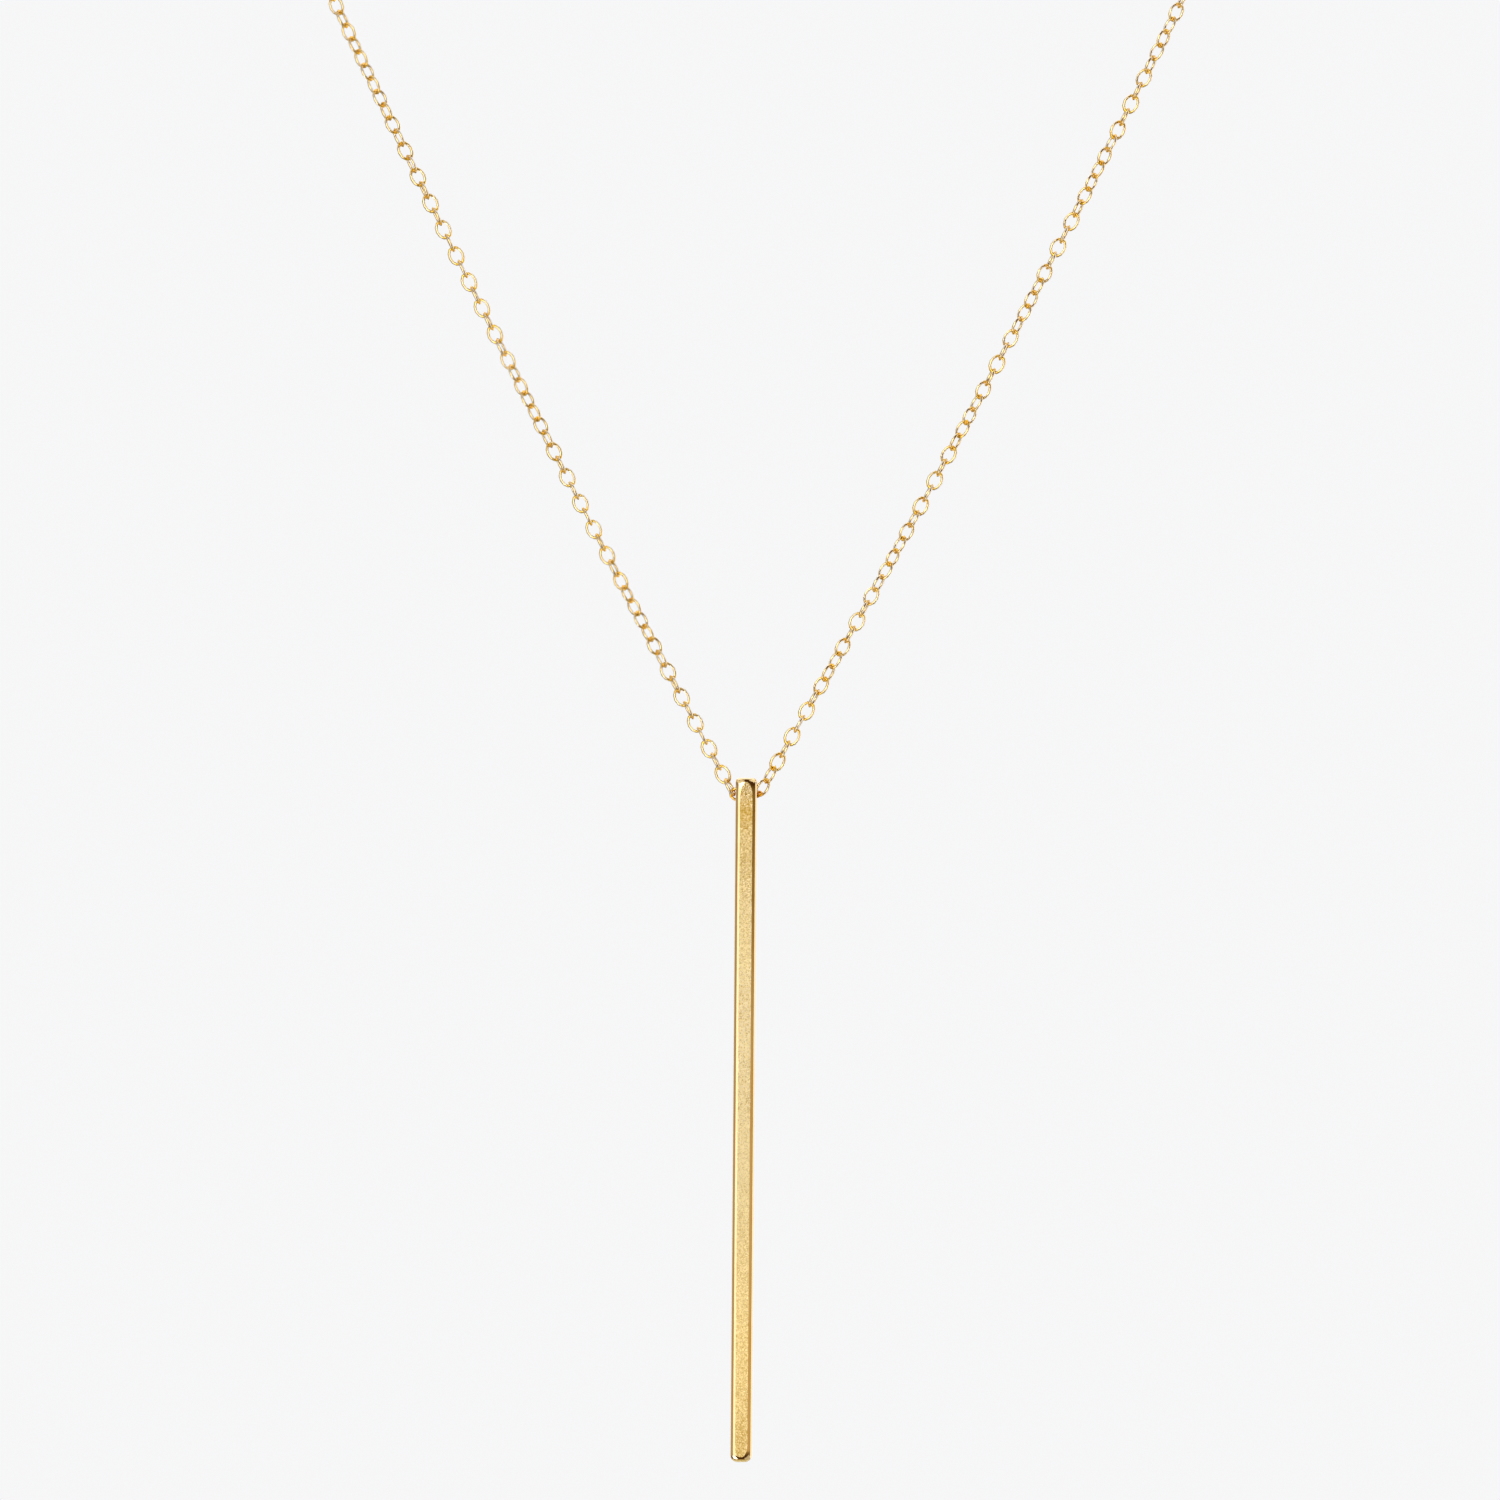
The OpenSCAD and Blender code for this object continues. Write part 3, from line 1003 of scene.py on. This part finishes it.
class PENDANT_OT_neck_chain(bpy.types.Operator):
    """Builds the links that run round both sides of the neck to the clasp"""

    bl_idname = "pendant.neck_chain"
    bl_label = "Build Neck Chain"

    def execute(self, context):
        sizes = context.scene.pendant_chain
        places = []
        for side in (-1, 1):
            places += neck_places(side, sizes, strand_places(side, sizes)[-1])
        chain = lay_links("neck_chain", link_model("neck_link", sizes), places, sizes.seed + 1)
        set_materials(chain, bpy.data.materials.get("chain gold") or chain_gold(context.scene.pendant_gold))
        dress(chain, "necklace", "chain_gold", "chain_back")
        return {"FINISHED"}


def upright_torus(name, centre, width, wire, around, section):
    """A ring of round wire that stands upright and faces the nape."""
    return add_shape(
        name, bpy.ops.mesh.primitive_torus_add, location=centre, rotation=(math.pi / 2, 0, 0),
        major_radius=(width - wire) / 2, minor_radius=wire / 2,
        major_segments=around, minor_segments=section,
    )


def ring_angle(spot):
    """Angle of a place round the clasp's ring, from the X axis towards the top, in degrees."""
    return math.degrees(math.atan2(spot.z, spot.x)) % 360


def cut_ring(ring, gone, ends, bevel):
    """Takes the faces at the angles that are gone out of a ring, then closes and bevels its two ends."""
    bpy.ops.object.mode_set(mode="EDIT")
    pick(ring, "faces", lambda f: gone(ring_angle(f.calc_center_median())))
    bpy.ops.mesh.delete(type="FACE")
    for end in ends:
        pick(ring, "edges", lambda e: e.is_boundary and abs(
            ring_angle((e.verts[0].co + e.verts[1].co) / 2) - end) < RING_END_REACH)
        bpy.ops.mesh.edge_face_add()
        if bevel:
            bpy.ops.mesh.bevel(offset=bevel, segments=2, affect="EDGES")
    bpy.ops.object.mode_set(mode="OBJECT")


def spring_ring():
    """The clasp's ring: a tube with a gap, and a thinner bolt that closes the gap."""
    tube = upright_torus("clasp_tube", (0, 0, 0), CLASP_WIDTH, CLASP_WIRE, RING_STEPS, 14)
    cut_ring(tube, lambda angle: GAP_ENDS[0] < angle < GAP_ENDS[1], GAP_ENDS, TUBE_END_BEVEL)
    bolt = upright_torus(
        "clasp_bolt", (0, 0, 0), CLASP_WIDTH - BOLT_THINNER, CLASP_WIRE - BOLT_THINNER, RING_STEPS, 12
    )
    cut_ring(bolt, lambda angle: not BOLT_ENDS[0] < angle < BOLT_ENDS[1], BOLT_ENDS, 0)
    return [tube, bolt]


def thumb_lever():
    """A small knob on the ring's outside, which draws the bolt back."""
    angle = math.radians(LEVER_ANGLE)
    out = Vector((math.cos(angle), 0, math.sin(angle)))
    lever = add_shape(
        "clasp_lever", bpy.ops.mesh.primitive_cylinder_add,
        vertices=20, radius=LEVER_RADIUS, depth=LEVER_STEM, location=out * LEVER_REACH,
        rotation=(0, math.pi / 2 - angle, 0),
    )
    bpy.ops.object.mode_set(mode="EDIT")
    pick(lever, "faces", lambda f: f.normal.dot(out) > 0.9)
    for grow, rise in LEVER_HEAD:
        bpy.ops.mesh.extrude_region_move(TRANSFORM_OT_translate={"value": out * rise * MM})
        shape = bmesh.from_edit_mesh(lever.data)
        corners = [v.co for v in shape.verts if v.select]
        centre = sum(corners, Vector()) / len(corners)
        bpy.ops.transform.resize(value=(grow, grow, grow), center_override=centre)
    bpy.ops.object.mode_set(mode="OBJECT")
    return lever


class PENDANT_OT_clasp(bpy.types.Operator):
    """Builds the ring clasp with its bolt, thumb lever and two eyes"""

    bl_idname = "pendant.clasp"
    bl_label = "Build Clasp"

    def execute(self, context):
        parts = [*spring_ring(), thumb_lever()]
        for side in (-1, 1):
            parts.append(upright_torus("clasp_eye", (side * EYE_CENTRE, 0, 0), EYE_WIDTH, EYE_WIRE, 32, 10))
        clasp = join_pieces("ring_clasp", parts)
        bpy.ops.object.mode_set(mode="EDIT")
        bpy.ops.mesh.select_all(action="SELECT")
        bpy.ops.mesh.normals_make_consistent(inside=False)
        bpy.ops.object.mode_set(mode="OBJECT")
        bpy.ops.object.shade_smooth_by_angle(angle=math.radians(40))
        set_materials(clasp, polished_gold("clasp gold", context.scene.pendant_gold, (1, 1, 1), 0.14))
        dress(clasp, "necklace", "clasp_gold", "clasp")
        return {"FINISHED"}


def aim(spot, target):
    """Turn of a lamp or camera at spot that points it at the target."""
    return (target - spot).to_track_quat("-Z", "Y").to_euler()


def compass(azimuth, rise):
    """Direction from the pendant, in degrees: 0 and 0 is the camera's side, azimuth grows to its right."""
    turn = math.radians(azimuth)
    lift = math.radians(rise)
    return Vector((math.sin(turn) * math.cos(lift), -math.cos(turn) * math.cos(lift), math.sin(lift)))


def soft_light(name, azimuth, rise, width, height, strength, colour):
    """A soft box that the gold mirrors and the camera doesn't see, at an azimuth and rise as in compass."""
    target = Vector((0, BAR_MIDDLE_Y, LIGHT_HEIGHT))
    spot = target + compass(azimuth, rise) * LIGHT_DISTANCE
    bpy.ops.object.light_add(type="AREA", location=spot, rotation=aim(spot, target))
    lamp = bpy.context.object
    name_piece(lamp, name)
    lamp.data.shape = "RECTANGLE"
    lamp.data.size = width
    lamp.data.size_y = height
    lamp.data.energy = strength * width * height * math.pi
    lamp.data.color = colour
    lamp.visible_camera = False


def height_stop(rise):
    """Place of a rise, in degrees, on a ramp that runs from straight down to straight up."""
    return (math.sin(math.radians(rise)) + 1) / 2


def room_colour(tree, settings):
    """Colour of the room by height: pale ground, a dark band, dim at eye level and dark above."""
    way = tree.nodes.new("ShaderNodeTexCoord").outputs["Generated"]
    height = add_node(tree, "ShaderNodeSeparateXYZ", {"Vector": way}).outputs["Z"]
    bands = (
        (-90, settings.ground), (-64, settings.ground), (-55, settings.dark), (-26, settings.dark),
        (-14, settings.low_room), (-6, settings.low_room), (-1, settings.room), (3, settings.room),
        (10, settings.dark), (90, settings.dark),
    )
    return colour_ramp(tree, spread(tree, height, -1.0), [(height_stop(rise), tint) for rise, tint in bands])


def backdrop_light(settings):
    """The backdrop that the camera sees, and the dim room that the gold mirrors."""
    world = bpy.data.worlds.new("studio")
    bpy.context.scene.world = world
    world.use_nodes = True
    tree = world.node_tree
    tree.nodes.clear()
    camera_ray = tree.nodes.new("ShaderNodeLightPath").outputs["Is Camera Ray"]
    room = add_node(tree, "ShaderNodeBackground", {"Color": room_colour(tree, settings)})
    seen = add_node(tree, "ShaderNodeBackground", {"Color": BACKDROP_COLOUR, "Strength": settings.backdrop})
    mix = add_node(tree, "ShaderNodeMixShader", {0: camera_ray, 1: room.outputs[0], 2: seen.outputs[0]})
    add_node(tree, "ShaderNodeOutputWorld", {"Surface": mix.outputs[0]})


def pale_floor():
    """A round pale floor under the pendant, which fades out towards its edge."""
    floor = add_shape(
        "floor", bpy.ops.mesh.primitive_circle_add, vertices=96, radius=FLOOR_RADIUS, fill_type="NGON",
        location=(FLOOR_CENTRE.x, FLOOR_CENTRE.y, BAR_LOW.z - FLOOR_DROP),
    )
    material = bpy.data.materials.new("pale floor")
    material.use_nodes = True
    tree = material.node_tree
    tree.nodes.clear()
    place = tree.nodes.new("ShaderNodeTexCoord").outputs["Object"]
    flat = add_node(tree, "ShaderNodeVectorMath", {0: place, 1: (1, 1, 0)}, operation="MULTIPLY")
    away = add_node(tree, "ShaderNodeVectorMath", {
        0: flat.outputs["Vector"], 1: FLOOR_CENTRE,
    }, operation="DISTANCE")
    fade = spread(tree, away.outputs["Value"], *FLOOR_FADE, interpolation_type="SMOOTHSTEP")
    paint = add_node(tree, "ShaderNodeBsdfPrincipled", {"Base Color": FLOOR_COLOUR, "Roughness": 0.9})
    clear = tree.nodes.new("ShaderNodeBsdfTransparent")
    mix = add_node(tree, "ShaderNodeMixShader", {0: fade, 1: paint.outputs[0], 2: clear.outputs[0]})
    add_node(tree, "ShaderNodeOutputMaterial", {"Surface": mix.outputs[0]})
    set_materials(floor, material)


def studio_camera(settings):
    """The camera at the picture's angle: the hole's centre falls on its own pixel."""
    metres = PICTURE_WIDTH / PICTURE_SIDE
    across = (HOLE_PIXEL[0] - PICTURE_SIDE / 2) * metres
    down = (HOLE_PIXEL[1] - PICTURE_SIDE / 2) * metres
    roll = settings.camera_roll
    right = Vector((math.cos(roll), 0, math.sin(roll)))
    up = Vector((-math.sin(roll), 0, math.cos(roll)))
    back = Vector((0, -1, 0))
    bpy.ops.object.camera_add()
    camera = bpy.context.object
    name_piece(camera, "studio_camera")
    camera.data.lens = settings.focal_length
    camera.data.sensor_width = SENSOR_WIDTH
    distance = PICTURE_WIDTH * settings.focal_length / SENSOR_WIDTH
    spot = HOLE_CENTRE - right * across + up * down + back * distance
    turn = Matrix((right, up, back)).transposed().to_4x4()
    camera.matrix_world = Matrix.Translation(spot) @ turn
    camera.data.clip_start = 0.01
    camera.data.clip_end = 20
    bpy.context.scene.camera = camera


class PENDANT_OT_stage(bpy.types.Operator):
    """Sets up the camera, the soft lights, the backdrop and the floor"""

    bl_idname = "pendant.stage"
    bl_label = "Build Stage"

    def execute(self, context):
        settings = context.scene.pendant_studio
        context.scene.view_settings.view_transform = "Standard"
        backdrop_light(settings)
        for light in LIGHTS:
            soft_light(*light)
        pale_floor()
        studio_camera(settings)
        return {"FINISHED"}


class PENDANT_PT_panel(bpy.types.Panel):
    """Lists the pieces of the pendant and their sizes and colours"""

    bl_label = "Bar Pendant"
    bl_idname = "PENDANT_PT_panel"
    bl_space_type = "VIEW_3D"
    bl_region_type = "UI"
    bl_category = "Pendant"

    def draw(self, context):
        scene = context.scene
        groups = [
            ("Bar", scene.pendant_bar, ["pendant.bar"]),
            ("Chain", scene.pendant_chain, ["pendant.open_chain", "pendant.neck_chain"]),
            ("Gold", scene.pendant_gold, ["pendant.clasp"]),
            ("Studio", scene.pendant_studio, ["pendant.stage"]),
        ]
        for title, settings, operators in groups:
            box = self.layout.box()
            box.label(text=title)
            for name in settings.__annotations__:
                box.prop(settings, name)
            for operator in operators:
                box.operator(operator)


GROUPS = {
    "pendant_bar": BarSizes,
    "pendant_chain": ChainSizes,
    "pendant_gold": GoldColours,
    "pendant_studio": StudioSettings,
}
CLASSES = [
    *GROUPS.values(),
    PENDANT_OT_bar,
    PENDANT_OT_open_chain,
    PENDANT_OT_neck_chain,
    PENDANT_OT_clasp,
    PENDANT_OT_stage,
    PENDANT_PT_panel,
]


def register():
    """Registers the classes and hangs the settings on the scene."""
    for part in CLASSES:
        bpy.utils.register_class(part)
    for name, group in GROUPS.items():
        setattr(bpy.types.Scene, name, PointerProperty(type=group))


def unregister():
    """Takes the settings and the classes away again."""
    for name in GROUPS:
        delattr(bpy.types.Scene, name)
    for part in reversed(CLASSES):
        bpy.utils.unregister_class(part)


def main():
    """Builds every piece and the stage."""
    register()
    bpy.ops.pendant.stage()
    bpy.ops.pendant.bar()
    bpy.ops.pendant.open_chain()
    bpy.ops.pendant.neck_chain()
    bpy.ops.pendant.clasp()


if __name__ == "__main__":
    main()
